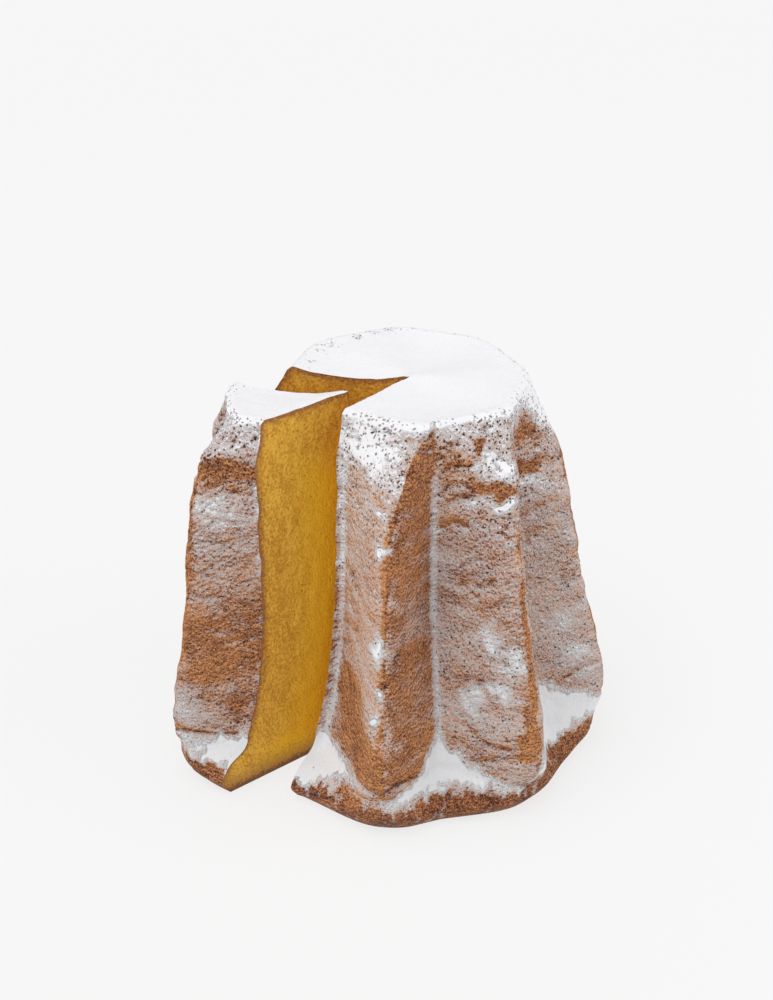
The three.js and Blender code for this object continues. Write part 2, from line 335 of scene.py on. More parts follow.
# %% [markdown]
# ## Where the sugar lies
#
# Icing sugar falls from above, so how much stays depends on how far a face looks up. It buries the
# top and the shelves, stays as a line down each furrow, greys the flanks, and is rubbed off the
# crests. All of this is worked out once for each point of the mesh and kept there as an attribute,
# `sugar`. The material then breaks its edge up with grains too fine for the mesh. Painting by hand
# would do it too, but it can't be read, changed or repeated.

# %% How dusty each flank is, and above what height it is white
FLANKS = [  # dust, then white above this height at its furrow and at its crest
    (0.30, 189, 178), (0.34, 177, 168), (0.11, 202, 190), (0.34, 193, 176),
    (0.30, 197, 184), (0.42, 197, 186), (0.32, 190, 176), (0.26, 184, 178),
    (0.34, 192, 180), (0.22, 186, 176), (0.36, 190, 183), (0.18, 188, 174),
    (0.34, 184, 180), (0.28, 192, 176), (0.36, 190, 182), (0.28, 178, 172),
]
BARE_FLANK = 2  # hardly dusted, save where dust blew over the crest from the flank before it
# The drift on the shelf of each furrow: its top at the furrow, how fast that falls off to the sides
# (degrees), and its lower edge with its climb for each degree from the furrow.
DRIFTS = [(31, 30, 9, 0.75), (43, 9.5, 15, 0.15), (50, 20, 16, 0.3)]
DRIFTS += (POINTS - len(DRIFTS)) * [(44, 12, 14, 0.3)]
DRIFT_ENDS = 19.0
BURIED = 1.25  # from this amount up, no crust shows
# Places with more sugar or less: angle, height, half width and half height in mm, amount.
PATCHES = [
    (-17, 187, 15, 11, 0.6), (-8.4, 163.5, 3.6, 2.6, 1.0), (-6.6, 148.5, 3.8, 3.4, 1.0),
    (-6.9, 103, 3.4, 8, 0.8), (-6.3, 82, 2.4, 2, 1.2), (-7.5, 66.5, 2.6, 2.4, 1.2),
    (-18, 55, 11, 22, -0.55), (37, 178, 9, 5, 0.5), (35.6, 163, 8, 3, 1.0), (34, 187, 2.6, 2.2, -1.2),
    (25, 181.5, 9, 3, -0.1), (35, 169, 8, 3.4, -0.9), (23, 174, 10, 2.4, -0.1), (24.5, 64, 3, 8, 0.5),
    (29.5, 95, 3.4, 9, 0.6), (34, 88, 4, 7, 0.7), (31, 70, 3, 7, 0.55), (36.5, 46, 6, 12, -0.6),
    (64, 165, 9, 3, -0.6), (67, 181, 11, 9, -0.45), (84, 186, 12, 9, 1.0), (62, 157, 9, 4, 0.65),
    (72, 62, 5, 4, 0.35), (64, 45, 8, 3, -0.4), (70, 80, 6, 6, 0.22), (-46, 85, 15, 24, -0.3),
    (-46, 175, 12, 6, -0.45), (3.4, 182, 4, 8, -0.4), (-9.5, 44, 7, 14, -0.8), (36.5, 62, 3, 14, -0.3),
    (-53, 130, 4, 34, -0.35), (-46, 42, 8, 5, 0.25), (-50, 52, 5, 8, 0.3), (-40, 48, 7, 7, -0.2),
    (-47, 155, 6, 8, 0.45),
]


def patches(angle, radius, z):
    """How much the written patches add, with ragged edges."""
    total = np.zeros(z.shape)
    places = with_height(polar(angle, radius), z)
    aside, aloft = noise(places, 7, 12.1), noise(places, 7, 15.4)
    for middle, height, wide, high, amount in PATCHES:
        across = np.radians(np.mod(angle - middle + 180, 360) - 180) * radius
        across, along = (across + 3 * aside) / wide, (z - height + 3 * aloft) / high
        total += amount * np.exp(-((across ** 2 + along ** 2) ** 1.5))
    return total


# %% The amount of sugar on the skin
def sugar_on_skin(skin, plain_up, rough_up):
    """plain_up and rough_up say how far the star's face and the wrinkled face look up."""
    places, z, share = skin["places"], skin["z"], skin["share"]
    dust, furrow_edge, crest_edge = np.moveaxis(np.array(FLANKS)[skin["flank"]], -1, 0)
    ragged = 6 * noise(places, 17, 2.2) + 4.5 * noise(places, (6, 6, 9), 4.1)
    blown_over = smoothstep(share + 0.2 * noise(places, 6, 8.1), 0.85, 1.05) * (skin["flank"] == BARE_FLANK)
    dust = dust + (FLANKS[BARE_FLANK - 1][0] - FLANKS[BARE_FLANK][0]) * blown_over
    white_above = furrow_edge + (crest_edge - furrow_edge) * share + ragged
    white = smoothstep(z, white_above - 6, white_above + 5)
    rim = smoothstep(z + 3 * noise(places, 5, 3.9), HEIGHT - 8, HEIGHT - 1)
    from_crest = (1 - share) * skin["flank_length"] + 1.2 * noise(places, 8, 5.2)
    here_and_there = smoothstep(noise(places, (12, 12, 23), 9.4), -0.35, 0.15)
    rubbed = (1 - smoothstep(from_crest, 1.3, 3.2)) * (1 - white) * here_and_there
    amount = dust + 0.14 * noise(places, 33) + 0.12 * noise(places, (10, 10, 7), 1.7)
    amount += 0.7 * (rough_up - plain_up) - 0.4 * rubbed + 0.34 * white + 0.35 * rim
    amount += 0.3 * smoothstep(z, HEIGHT - 4, HEIGHT - 1)

    from_furrow = share * skin["flank_length"]
    line = np.exp(-((from_furrow / 2.3) ** 2)) * smoothstep(noise(places, (14, 14, 30), 6.6), -0.5, 0.2)
    amount += 0.6 * line * (1 - white)
    amount += patches(skin["angle"], skin["radius"], z)

    top, spread, low, climb = np.moveaxis(np.array(DRIFTS)[skin["flank"] // 2], -1, 0)
    aside = np.abs(np.mod(skin["angle"] - skin["furrow"] + 180, 360) - 180)
    strokes = noise(places, (3.5, 3.5, 14), 3.3)  # sugar that slid down in fine streaks
    fine = noise(places, (2.5, 2.5, 12), 1.1)
    ragged_z = z + 3 * noise(places, 9, 0.6)
    upper = DRIFT_ENDS + (top - DRIFT_ENDS) * np.exp(-((aside / spread) ** 1.3))
    lower = low + climb * aside
    drift = smoothstep(ragged_z + 4 * fine + 2 * strokes, lower - 4, lower + 6)
    drift = drift * (1 - smoothstep(ragged_z + 3 * fine, upper - 4, upper + 4))
    foot = 1 - smoothstep(z, 13, 24)
    amount = amount * (1 - foot) + (0.45 * smoothstep(strokes, 0.1, 0.6) - 0.2) * foot
    return amount + (BURIED - np.minimum(amount, BURIED)) * drift, drift


# %% [markdown]
# ## From skin to a closed piece
#
# Both knife cuts are upright and meet close to the axis. Seen from where they meet, every piece is
# a simple fan: skin between two cut angles, two flat cut faces back to the meeting line, a top and
# a base. So each piece is built as grids that share their edge points, which gives one closed mesh
# with clean edges. Cutting a finished star with a Boolean would work as well, but it leaves long
# thin faces along the cut and loses the amounts stored at the points.

# %% Cuts and grids
MEETING = np.array([1.3, -2.3])
GAP = (-97.2, -36.8)
SLICE = (-91.0, -38.7)


def seen_from_meeting(theta, z):
    """Where the ray at angle theta from the meeting line reaches the plain star."""
    reach = star(theta, z)[0]
    for _ in range(10):
        xy = MEETING + polar(theta, reach)
        reach = reach + star(angle_of(xy), z)[0] - np.hypot(xy[..., 0], xy[..., 1])
    return MEETING + polar(theta, reach)


def even_angles(first, last, step):
    """Angles whose places on the star are `step` mm apart at half height."""
    fine = np.linspace(first, last, 4000)
    xy = seen_from_meeting(fine, np.full(fine.shape, HEIGHT / 2))
    length = np.concatenate([[0], np.cumsum(np.linalg.norm(np.diff(xy, axis=0), axis=1))])
    return np.interp(np.linspace(0, length[-1], int(length[-1] / step) + 1), length, fine)


def normals_of(grid):
    facing = np.cross(np.gradient(grid, axis=1), np.gradient(grid, axis=0))
    return facing / np.linalg.norm(facing, axis=-1, keepdims=True)


# %% The skin between two cuts, with its relief and its sugar
SKIN_LIES_IN = 0.45  # the fine relief starts this far inside the solid
SUGAR_THICKNESS = 0.75
USUAL_BAKE = 0.42
# How much darker the first flanks are, partly their own bake and partly painted light and shade:
# the one beside the gap is painted paler where it faces the light, the one after it darker in shade.
BAKE_AND_SHADE_OF_FLANK = np.array([0.05, -0.2, 0.1, 0.03] + (2 * POINTS - 4) * [0.0])
FINE_ROWS_FROM = HEIGHT - 13  # near the rim the rows lie closer


def make_skin(first, last, step, draw):
    rim_rows = int((HEIGHT - FINE_ROWS_FROM) / (0.7 * step))
    heights = np.unique(np.concatenate([np.linspace(0, FINE_ROWS_FROM, int(FINE_ROWS_FROM / step)),
                                        np.linspace(FINE_ROWS_FROM, HEIGHT, rim_rows)]))
    theta, z = np.meshgrid(even_angles(first, last, step), heights)
    xy = seen_from_meeting(theta, z)
    angle = angle_of(xy)
    radius, share, flank = star(angle, z)
    skin = dict(z=z, angle=angle, radius=radius, share=share, flank=flank, theta=theta)
    skin["furrow"] = np.array([point["furrow"] for point in points])[flank // 2]
    skin["flank_length"] = 24 + 24 * (1 - smoothstep(z, 100, HEIGHT))
    skin["places"] = places = with_height(xy, z)
    plain = with_height(polar(angle, radius + skin_relief(xy[..., 0], xy[..., 1], z, angle)), z)
    facing = normals_of(plain)

    calm = smoothstep(z, 2, 12) * smoothstep(HEIGHT - z, 0, 5)  # level at the base and the rim
    column = np.arange(z.shape[1])
    from_cut = np.minimum(column, column[::-1]) * step + np.zeros(z.shape)
    calm = calm * (0.35 + 0.65 * smoothstep(from_cut, 0, 5))  # and straight beside a cut
    lines = crease_lines(places, flank)
    marks = marked_creases(angle, radius, z) * (0.65 + 0.5 * noise(places, 4, 3.7))
    pit, pit_depth = scattered_pits(places, flank, z, draw)
    inwards = 0.75 * lines + marks + pit_depth + 0.35 - 0.55 * wrinkles(places, flank)
    rough = plain - facing * (calm * np.clip(inwards, 0, None) + SKIN_LIES_IN)[..., None]
    rough_up = normals_of(rough)[..., 2]

    sugar, drift = sugar_on_skin(skin, normals_of(places)[..., 2], rough_up)
    sunk = pit + smoothstep(marks + 0.6 * lines, 0.3, 1.1)  # pits and creases keep less sugar
    sugar = sugar - 0.35 * sunk * (1 - drift)
    beside = (1 - smoothstep(from_cut, 0.5, 3)) * smoothstep(noise(places, (4, 4, 6), 9.9), -0.1, 0.4)
    sugar = sugar + 0.45 * beside * smoothstep(z, 20, 60)  # the knife piled some up along the cut
    skin["sugar"] = sugar
    near_rim = 0.4 + 0.6 * smoothstep(z, 130, 185)
    pitted = near_rim * ROUGHNESS[flank] + 0.4 * noise(places, 14, 8.8)
    skin["pitted"] = np.clip(pitted, 0.04, 0.9) * (1 - drift)
    # Painted shade in the bake: creases and pits are painted darker, and the skin is darker towards the
    # foot, partly a harder bake and partly painted shade next to the floor.
    skin["bake_and_shade"] = (USUAL_BAKE + BAKE_AND_SHADE_OF_FLANK[flank] * smoothstep(z, 40, 90)
                    + 0.16 * noise(places, 29, 4.4) + 0.1 * noise(places, (9, 9, 5), 2.9)
                    + 0.3 * lines + 0.35 * smoothstep(marks, 0.2, 1.5) + 0.25 * pit
                    + 0.2 * (1 - smoothstep(z, 10, 22)) + 0.02 * (1 - smoothstep(z, 50, 90))
                    - 0.04 * smoothstep(share, 0.85, 1))
    thick = SUGAR_THICKNESS * smoothstep(sugar, 0.6, 1.3) * (0.45 + 0.55 * drift)
    outwards = np.minimum(thick, SKIN_LIES_IN)  # the sugar fills no more than the skin lies in
    skin["shape"] = rough + facing * (calm * outwards)[..., None]
    return skin


test = make_skin(-30.0, 30.0, 3.0, np.random.default_rng(1))
print("a coarse test skin has", test["z"].size, "points, sugar", test["sugar"].min().round(2),
      "to", test["sugar"].max().round(2))

# %% [markdown]
# ### The top and the base
#
# The top is nearly flat, so a fan of long thin triangles from the meeting point would waste faces
# and shade badly. Instead its outline is filled with evenly spaced points, joined by a Delaunay
# triangulation, which Blender offers as `delaunay_2d_cdt`. The base is filled the same way, more
# coarsely.


# %% Fill an outline with evenly spaced points
ROW_SPACING = 0.87  # of the step, so that the points form even triangles


def fill_outline(outline, step):
    """Extra inside points, and the triangles over outline and inside points together."""
    low, high = outline.min(0), outline.max(0)
    inside = []
    for k, y in enumerate(np.arange(low[1], high[1], step * ROW_SPACING)):
        x = np.arange(low[0] + (k % 2) * step / 2, high[0], step)
        inside.append(np.stack([x, np.full(len(x), y)], -1))
    inside = np.concatenate(inside)
    ahead = np.roll(outline, -1, axis=0)
    keep = np.zeros(len(inside), bool)
    for (x0, y0), (x1, y1) in zip(outline, ahead):  # count the edges that a level ray crosses
        crosses = (inside[:, 1] < y0) != (inside[:, 1] < y1)
        if y0 != y1:
            keep ^= crosses & (inside[:, 0] < x0 + (inside[:, 1] - y0) * (x1 - x0) / (y1 - y0))
    inside = inside[keep]
    tree = kdtree.KDTree(len(outline))
    for k, (x, y) in enumerate(outline):
        tree.insert((x, y, 0), k)
    tree.balance()
    inside = inside[[tree.find((x, y, 0))[2] > 0.55 * step for x, y in inside]]
    both = [Vector(p) for p in np.concatenate([outline, inside])]
    edges = [(k, (k + 1) % len(outline)) for k in range(len(outline))]
    spots, _, faces, origins, _, _ = delaunay_2d_cdt(both, edges, [], 1, 1e-6)
    assert len(spots) == len(both), "two points of the outline fell together"
    source = np.array([origin[0] for origin in origins])
    corners = np.array([[*spot] for spot in spots])
    triangles = np.array([list(face) for face in faces])
    a, b, c = (corners[triangles[:, k]] for k in range(3))
    turned = (b - a)[:, 0] * (c - a)[:, 1] - (b - a)[:, 1] * (c - a)[:, 0] < 0
    triangles[turned] = triangles[turned][:, ::-1]
    return inside, source[triangles]


square = np.array([(0, 0), (5, 0), (10, 0), (10, 10), (0, 10)], float)
print("a square of 10 mm takes", len(fill_outline(square, 2.0)[1]), "triangles")

# %% [markdown]
# ### The crumb
#
# A knife leaves crumb that is nearly flat: pores drawn out upwards by rising dough, faint upright
# streaks, and a firmer brown edge, a few millimetres thick, all round. Every point of a cut face
# keeps its distance from the skin, `from_skin`, and from the base, `from_base`, so the material can
# draw that edge at its true width wherever the cut runs.

# %% A cut face between the skin's edge and the meeting line
CUT_COLUMNS = 44
TOP_DIP, HOLLOW = 0.6, 3.2


def top_height(xy, share):
    """The top sinks in three hollows between middle and rim, and the sugar lies on it in soft lumps."""
    waves = 0.5 + 0.5 * np.sin(3 * np.radians(angle_of(xy)))
    dip = TOP_DIP * (1 - share) + HOLLOW * waves * 4 * share * (1 - share)
    flat = with_height(xy, np.zeros(len(xy)))
    lumps = 0.35 * noise(flat, 15, 1.3) + 0.2 * noise(flat, 5, 7.7)
    return HEIGHT - 0.15 - dip - (0.45 - lumps) * smoothstep(1 - share, 0, 0.12)


def make_cut(edge, outwards):
    """Rows run up and columns run inwards. The first column is the skin's edge itself."""
    share = 1 - np.linspace(0, 1, CUT_COLUMNS + 1)
    rim = edge[-1]
    line = with_height(MEETING + share[:, None] * (rim[:2] - MEETING), np.zeros(len(share)))
    ceiling = top_height(line[:, :2], share)
    ceiling[0] = rim[2]
    xy = MEETING + share[None, :, None] * (edge[:, None, :2] - MEETING)
    z = edge[:, 2:] * ceiling[None] / rim[2]
    grid = with_height(xy, z)
    reach = np.linalg.norm(edge[:, :2] - MEETING, axis=1)
    from_side = (1 - share) * reach[:, None]
    from_top = ceiling[None] - z
    quiet = np.clip(np.minimum(from_side / 3, share * 8), 0, 1) * np.clip(z / 3, 0, 1)
    torn = 0.3 * noise(grid, (6, 6, 13), 5.1) + 0.16 * noise(grid, (2.6, 2.6, 5), 0.4)
    grid[..., :2] += (quiet * (torn - 0.12) * np.clip(from_top / 3, 0, 1))[..., None] * outwards
    return grid, np.minimum(from_side * 0.9, from_top * 0.8), z


# %% [markdown]
# ### Sewing the grids together
#
# The grids are numbered one after another. Where two of them meet they use the same numbers, so the
# mesh has no seams to weld. Faces of crust and of crumb are kept apart, because they get a material
# each.


# %% One closed mesh from skin, cuts, top and base
def grid_faces(numbers, flip=False):
    a, b = numbers[:-1, :-1].ravel(), numbers[:-1, 1:].ravel()
    c, d = numbers[1:, 1:].ravel(), numbers[1:, :-1].ravel()
    return np.stack([a, d, c, b] if flip else [a, b, c, d], -1)


def inner_points(first, last):
    """Amounts of both cuts but for their outer columns. The meeting line comes once, at the end."""
    return np.concatenate([first[:, 1:-1].ravel(), last[:, 1:-1].ravel(), first[:, -1]])


FULL_SUGAR = 1.35
THIN_SIDE = -130.0  # degrees; near this side of the rim the sugar is thin and the skin shows


def top_values(inside, share, turn):
    """Amounts for the top's inside points, at their share of the way out and their angle."""
    flat = with_height(inside, np.zeros(len(inside)))
    at_side = smoothstep(np.cos(np.radians(turn - THIN_SIDE)), 0.45, 0.85)
    thin = smoothstep(share, 0.7, 0.95) * at_side * smoothstep(noise(flat, (7, 5, 5), 2.7), 0.0, 0.3)
    return {"sugar": FULL_SUGAR - 0.35 * thin, "bake_and_shade": 0.45, "pitted": 0.75 * thin,
            "from_skin": 0.0, "from_base": top_height(inside, share)}


# %% Join the grids, then close them with a top and a base
BASE_STEP = 5.0
BASE_VALUES = {"sugar": 0.05, "bake_and_shade": 0.7, "pitted": 0.0, "from_skin": 0.0, "from_base": 0.0}


def make_piece_parts(first, last, step, top_step, seed):
    skin = make_skin(first, last, step, np.random.default_rng(seed))
    shape = skin["shape"]
    rows, columns = shape.shape[:2]
    first_cut, first_depth, first_base = make_cut(shape[:, 0], -polar(first + 90, 1.0))
    last_cut, last_depth, last_base = make_cut(shape[:, -1], polar(last + 90, 1.0))
    skin_numbers = np.arange(rows * columns).reshape(rows, columns)
    start = rows * columns
    inner = CUT_COLUMNS - 1
    first_inner = start + np.arange(rows * inner).reshape(rows, inner)
    last_inner = first_inner + rows * inner
    middle = start + 2 * rows * inner + np.arange(rows)
    first_numbers = np.concatenate([skin_numbers[:, :1], first_inner, middle[:, None]], 1)
    last_numbers = np.concatenate([skin_numbers[:, -1:], last_inner, middle[:, None]], 1)

    coords = np.concatenate([shape.reshape(-1, 3), first_cut[:, 1:-1].reshape(-1, 3),
                             last_cut[:, 1:-1].reshape(-1, 3), first_cut[:, -1]])
    on_cuts = len(coords) - start
    top_row = np.zeros(first_depth.shape)
    top_row[-1] = FULL_SUGAR  # the sugar on the top reaches the cuts
    values = {
        "sugar": np.concatenate([skin["sugar"].ravel(), inner_points(top_row, top_row)]),
        "bake_and_shade": np.concatenate([skin["bake_and_shade"].ravel(), np.full(on_cuts, 0.5)]),
        "pitted": np.concatenate([skin["pitted"].ravel(), np.zeros(on_cuts)]),
        "from_skin": np.concatenate([np.zeros(start), inner_points(first_depth, last_depth)]),
        "from_base": np.concatenate([skin["z"].ravel(), inner_points(first_base, last_base)]),
    }
    crust = [grid_faces(skin_numbers)]
    crumb = [grid_faces(first_numbers, flip=True), grid_faces(last_numbers)]

    for row, spacing in ((-1, top_step), (0, BASE_STEP)):
        ring = np.concatenate([skin_numbers[row], last_numbers[row, 1:], first_numbers[row, -2:0:-1]])
        inside, triangles = fill_outline(coords[ring, :2], spacing)
        if row == 0:
            new = BASE_VALUES
        else:
            spot, rim = inside - MEETING, shape[row, :, :2] - MEETING
            turn, rim_turn = angle_of(spot), angle_of(rim)
            if last - first > 180:  # too wide for angles from -180 to 180, so they are counted on
                turn, rim_turn = first + np.mod(turn - first, 360), skin["theta"][row]
            order = np.argsort(rim_turn)
            reach = np.interp(turn, rim_turn[order], np.linalg.norm(rim, axis=1)[order])
            new = top_values(inside, np.clip(np.linalg.norm(spot, axis=1) / reach, 0, 1), turn)
        numbers = np.concatenate([ring, len(coords) + np.arange(len(inside))])
        new = {name: np.zeros(len(inside)) + amount for name, amount in new.items()}
        coords = np.concatenate([coords, with_height(inside, new["from_base"])])
        values = {name: np.concatenate([old, new[name]]) for name, old in values.items()}
        crust.append(numbers[triangles] if row else numbers[triangles[:, ::-1]])
    return coords, crust, crumb, values


# %% Make the cake and the slice in the star's own frame
cake_parts = make_piece_parts(GAP[1], GAP[0] + 360, step=1.25, top_step=1.7, seed=21)
slice_parts = make_piece_parts(*SLICE, step=0.9, top_step=1.5, seed=22)
for name, parts in (("cake", cake_parts), ("slice", slice_parts)):
    triangles = sum(len(faces) * (faces.shape[1] - 2) for faces in parts[1] + parts[2])
    print(name, "has", len(parts[0]), "points and", triangles, "triangles")

# %% [markdown]
# ## Standing them in the frame
#
# The slice dried and shrank a little, leans outwards, and stands turned beside its gap. The whole
# is centred on its footprint, so the star's axis is where the box of both pieces puts it.

# %% Place the slice, then both
SLICE_SIZE = 0.96
SLICE_LEAN, SLICE_TILT = math.radians(2.2), math.radians(3.2)
SLICE_PLACE, SLICE_TURN = np.array([-19.8, -15.1]), math.radians(-11.9)


def place_slice(coords):
    outwards = polar(sum(SLICE) / 2, 1.0)
    xy, z = coords[:, :2] * SLICE_SIZE, coords[:, 2]
    drop = math.tan(SLICE_TILT) * (xy @ outwards) * z / HEIGHT
    xy = xy + math.tan(SLICE_LEAN) * z[:, None] * outwards
    c, s = math.cos(SLICE_TURN), math.sin(SLICE_TURN)
    turned = np.stack([c * xy[:, 0] - s * xy[:, 1], s * xy[:, 0] + c * xy[:, 1]], -1)
    return with_height(turned + SLICE_PLACE, z - drop)


low, high = (np.array(corner) / MM for corner in cad_box)


def plain_outline(first, last):
    theta, z = np.meshgrid(even_angles(first, last, 2.0), np.linspace(0, HEIGHT, 100))
    xy = seen_from_meeting(theta, z)
    angle = angle_of(xy)
    radius = star(angle, z)[0] + skin_relief(xy[..., 0], xy[..., 1], z, angle)
    return with_height(polar(angle, radius), z).reshape(-1, 3)


outline = np.concatenate([plain_outline(GAP[1], GAP[0] + 360), place_slice(plain_outline(*SLICE))])
star_axis = (low + high)[:2] / 2 - (outline.min(0) + outline.max(0))[:2] / 2
print("the star's axis stands at", star_axis.round(2), "mm")

# %% [markdown]
# ## Blender meshes
#
# `from_pydata` takes points and faces as they are. Crust is material 0 and crumb is material 1. The
# amounts go onto the points as attributes, so the materials can read them by name, and the edges
# between crust and crumb are marked sharp, because a knife edge shades as a corner.

# %% Turn the parts into two pieces
BODY = "root"


def unmoved(coords):
    return coords


def make_piece(name, parts, place):
    coords, crust, crumb, values = parts
    placed = place(coords)
    placed[:, :2] += star_axis
    mesh = bpy.data.meshes.new(name)
    faces = [face.tolist() for group in crust + crumb for face in group]
    mesh.from_pydata(np.clip(placed, low, high) * MM, [], faces)
    is_crumb = np.arange(len(faces)) >= sum(len(group) for group in crust)
    mesh.polygons.foreach_set("material_index", is_crumb.astype(np.int32))
    mesh.polygons.foreach_set("use_smooth", np.ones(len(faces), bool))
    edge_of = np.zeros(len(mesh.loops), np.int32)
    mesh.loops.foreach_get("edge_index", edge_of)
    crumb_sides = np.bincount(edge_of, np.repeat(is_crumb, [len(face) for face in faces]))
    mesh.edges.foreach_set("use_edge_sharp", crumb_sides == 1)
    for attribute, amounts in values.items():
        stored = mesh.attributes.new(attribute, "FLOAT", "POINT").data
        stored.foreach_set("value", amounts.astype(np.float32))
    piece = bpy.data.objects.new(name, mesh)
    bpy.context.collection.objects.link(piece)
    print(name, "has", (crumb_sides == 1).sum(), "sharp edges")
    return piece


cake_piece = make_piece("sugared_cake", cake_parts, unmoved)
slice_piece = make_piece("sugared_slice", slice_parts, place_slice)

# %% [markdown]
# ## Materials
#
# The whole cake has two finishes: crust under sugar, and crumb. Both take their position in
# millimetres, so a size written in a node is a size on the cake. A small helper adds a node, sets
# its options and joins its inputs in one line.

# %% A helper for nodes
def add(tree, kind, inputs=None, **options):
    node = tree.nodes.new("ShaderNode" + kind)
    for option, value in options.items():
        setattr(node, option, value)
    for socket, value in (inputs or {}).items():
        if isinstance(value, bpy.types.NodeSocket):
            tree.links.new(value, node.inputs[socket])
        else:
            node.inputs[socket].default_value = value
    return node


def calc(tree, operation, *terms, clamp=False):
    return add(tree, "Math", dict(enumerate(terms)), operation=operation, use_clamp=clamp).outputs[0]


def stretch(tree, place, *factors):
    """Each axis of the place by its factor. Noise read there is drawn out where that is below 1."""
    return add(tree, "VectorMath", {0: place, 1: factors}, operation="MULTIPLY").outputs[0]


def centred(tree, value):
    return calc(tree, "SUBTRACT", value, 0.5)


def call(tree, group, inputs):
    return add(tree, "Group", inputs, node_tree=group).outputs


def blobs(tree, place, size, detail, rough):
    """Noise from 0 to 1 around 0.5, with blobs about `size` mm across."""
    inputs = {"Vector": place, "Scale": 1 / size, "Detail": detail, "Roughness": rough}
    return add(tree, "TexNoise", inputs).outputs["Fac"]


def between(tree, value, low_end, high_end, to_low=0.0, to_high=1.0):
    inputs = {0: value, 1: low_end, 2: high_end, 3: to_low, 4: to_high}
    return add(tree, "MapRange", inputs, interpolation_type="SMOOTHSTEP").outputs[0]


def blend_colours(tree, share, first, second):
    return add(tree, "Mix", {0: share, 6: first, 7: second}, data_type="RGBA").outputs[2]


def new_group(name, inputs, outputs):
    tree = bpy.data.node_groups.new(name, "ShaderNodeTree")
    for label, kind in inputs.items():
        tree.interface.new_socket(label, in_out="INPUT", socket_type="NodeSocket" + kind)
    for label, kind in outputs.items():
        tree.interface.new_socket(label, in_out="OUTPUT", socket_type="NodeSocket" + kind)
    return tree, tree.nodes.new("NodeGroupInput").outputs, tree.nodes.new("NodeGroupOutput").inputs


print("node helpers ready")

# %% [markdown]
# ### The grain of the skin
#
# From close by, the skin is a crust of tiny overlapping flakes, longer round the cake than up it.
# Their upper faces catch sugar, and the crust is painted darker on their undersides and paler on
# their upper faces, as painted shade and light; this is what makes the sides look rough. A material
# can't ask how a bump faces, so the height of the flakes is worked out twice, once a little higher
# up, and the difference says how far a flake faces up.

# %% Group: flakes
flakes, given, gives = new_group("Flakes", {"Position": "Vector"}, {"Height": "Float"})
plates = blobs(flakes, stretch(flakes, given["Position"], 1.0, 1.0, 1.25), 2.1, 1.0, 0.5)
crumbs = blobs(flakes, given["Position"], 0.9, 1.0, 0.5)
height = calc(flakes, "MULTIPLY_ADD", plates, 1.5, calc(flakes, "MULTIPLY", crumbs, 0.6))
flakes.links.new(height, gives["Height"])

FLAKE_RISE = 0.7  # how much higher up the flakes are looked at again, in mm
grain, given, gives = new_group("Skin grain", {"Position": "Vector"}, {"Height": "Float", "Up": "Float"})
higher = add(grain, "VectorMath", {0: given["Position"], 1: (0.0, 0.0, FLAKE_RISE)}, operation="ADD")
here, above = (call(grain, flakes, {"Position": spot})["Height"]
               for spot in (given["Position"], higher.outputs[0]))
grain.links.new(here, gives["Height"])
grain.links.new(calc(grain, "SUBTRACT", here, above), gives["Up"])
print("flakes have", len(flakes.nodes), "nodes")

# %% [markdown]
# ### Icing sugar
#
# Icing sugar is a white powder that clumps. At the edge of a drift it doesn't fade evenly: it breaks
# up into clumps of a few millimetres and then into specks. So the amount at a place isn't used as an
# opacity. Noise and the flakes' upward faces are added to it, and the sum is cut off softly, in two
# layers. `Bloom` is the fine dust that greys the skin where there is little sugar, and `Cover` is
# the white that hides it. Near the foot, where sugar slid down, the cover is drawn out in streaks.

# %% Group: dusting
dusting, given, gives = new_group("Dusting", {"Amount": "Float", "Up": "Float", "Position": "Vector"},
                                  {"Bloom": "Float", "Cover": "Float", "Height": "Float"})
clumps = blobs(dusting, given["Position"], 3.2, 3.0, 0.6)
specks = blobs(dusting, given["Position"], 0.75, 2.0, 0.7)
uneven_clumps, uneven_specks = centred(dusting, clumps), centred(dusting, specks)

grainy = calc(dusting, "MULTIPLY", given["Up"], 0.7)
grainy = calc(dusting, "MULTIPLY_ADD", uneven_clumps, 0.6, grainy)
grainy = calc(dusting, "MULTIPLY_ADD", uneven_specks, 2.2, grainy)
grain_shows = between(dusting, given["Amount"], -0.05, 0.35, 0.15, 1.0)
bloom = calc(dusting, "MULTIPLY_ADD", given["Amount"], 1.6, -0.15)
bloom = calc(dusting, "MULTIPLY_ADD", grainy, grain_shows, bloom)
most = between(dusting, given["Amount"], 0.4, 0.75, 0.55, 0.85)
bloom = calc(dusting, "MINIMUM", calc(dusting, "MAXIMUM", bloom, 0.0), most)
dusting.links.new(bloom, gives["Bloom"])

streaks = blobs(dusting, stretch(dusting, given["Position"], 1.0, 1.0, 0.22), 1.6, 2.0, 0.6)
height_here = add(dusting, "SeparateXYZ", {0: given["Position"]}).outputs["Z"]
streaks = calc(dusting, "MULTIPLY", centred(dusting, streaks),
               between(dusting, height_here, 16.0, 44.0, 2.0, 0.0))
streaks = calc(dusting, "MULTIPLY", streaks, between(dusting, given["Amount"], 0.1, 0.5))
uneven = calc(dusting, "ADD", uneven_clumps, streaks)
uneven = calc(dusting, "MULTIPLY_ADD", uneven_specks, 2.0, uneven)
uneven = calc(dusting, "MULTIPLY_ADD", given["Up"], 0.9, uneven)
thin = between(dusting, given["Amount"], 0.95, 1.25, 1.0, 0.1)
uneven = calc(dusting, "MULTIPLY_ADD", uneven, thin, given["Amount"])
cover = calc(dusting, "MULTIPLY_ADD", uneven, 2.8, -1.5, clamp=True)
dusting.links.new(cover, gives["Cover"])
lumpy = calc(dusting, "MULTIPLY_ADD", specks, 0.25, calc(dusting, "MULTIPLY", clumps, 0.4))
dusting.links.new(calc(dusting, "MULTIPLY", cover, lumpy), gives["Height"])
print("dusting has", len(dusting.nodes), "nodes")
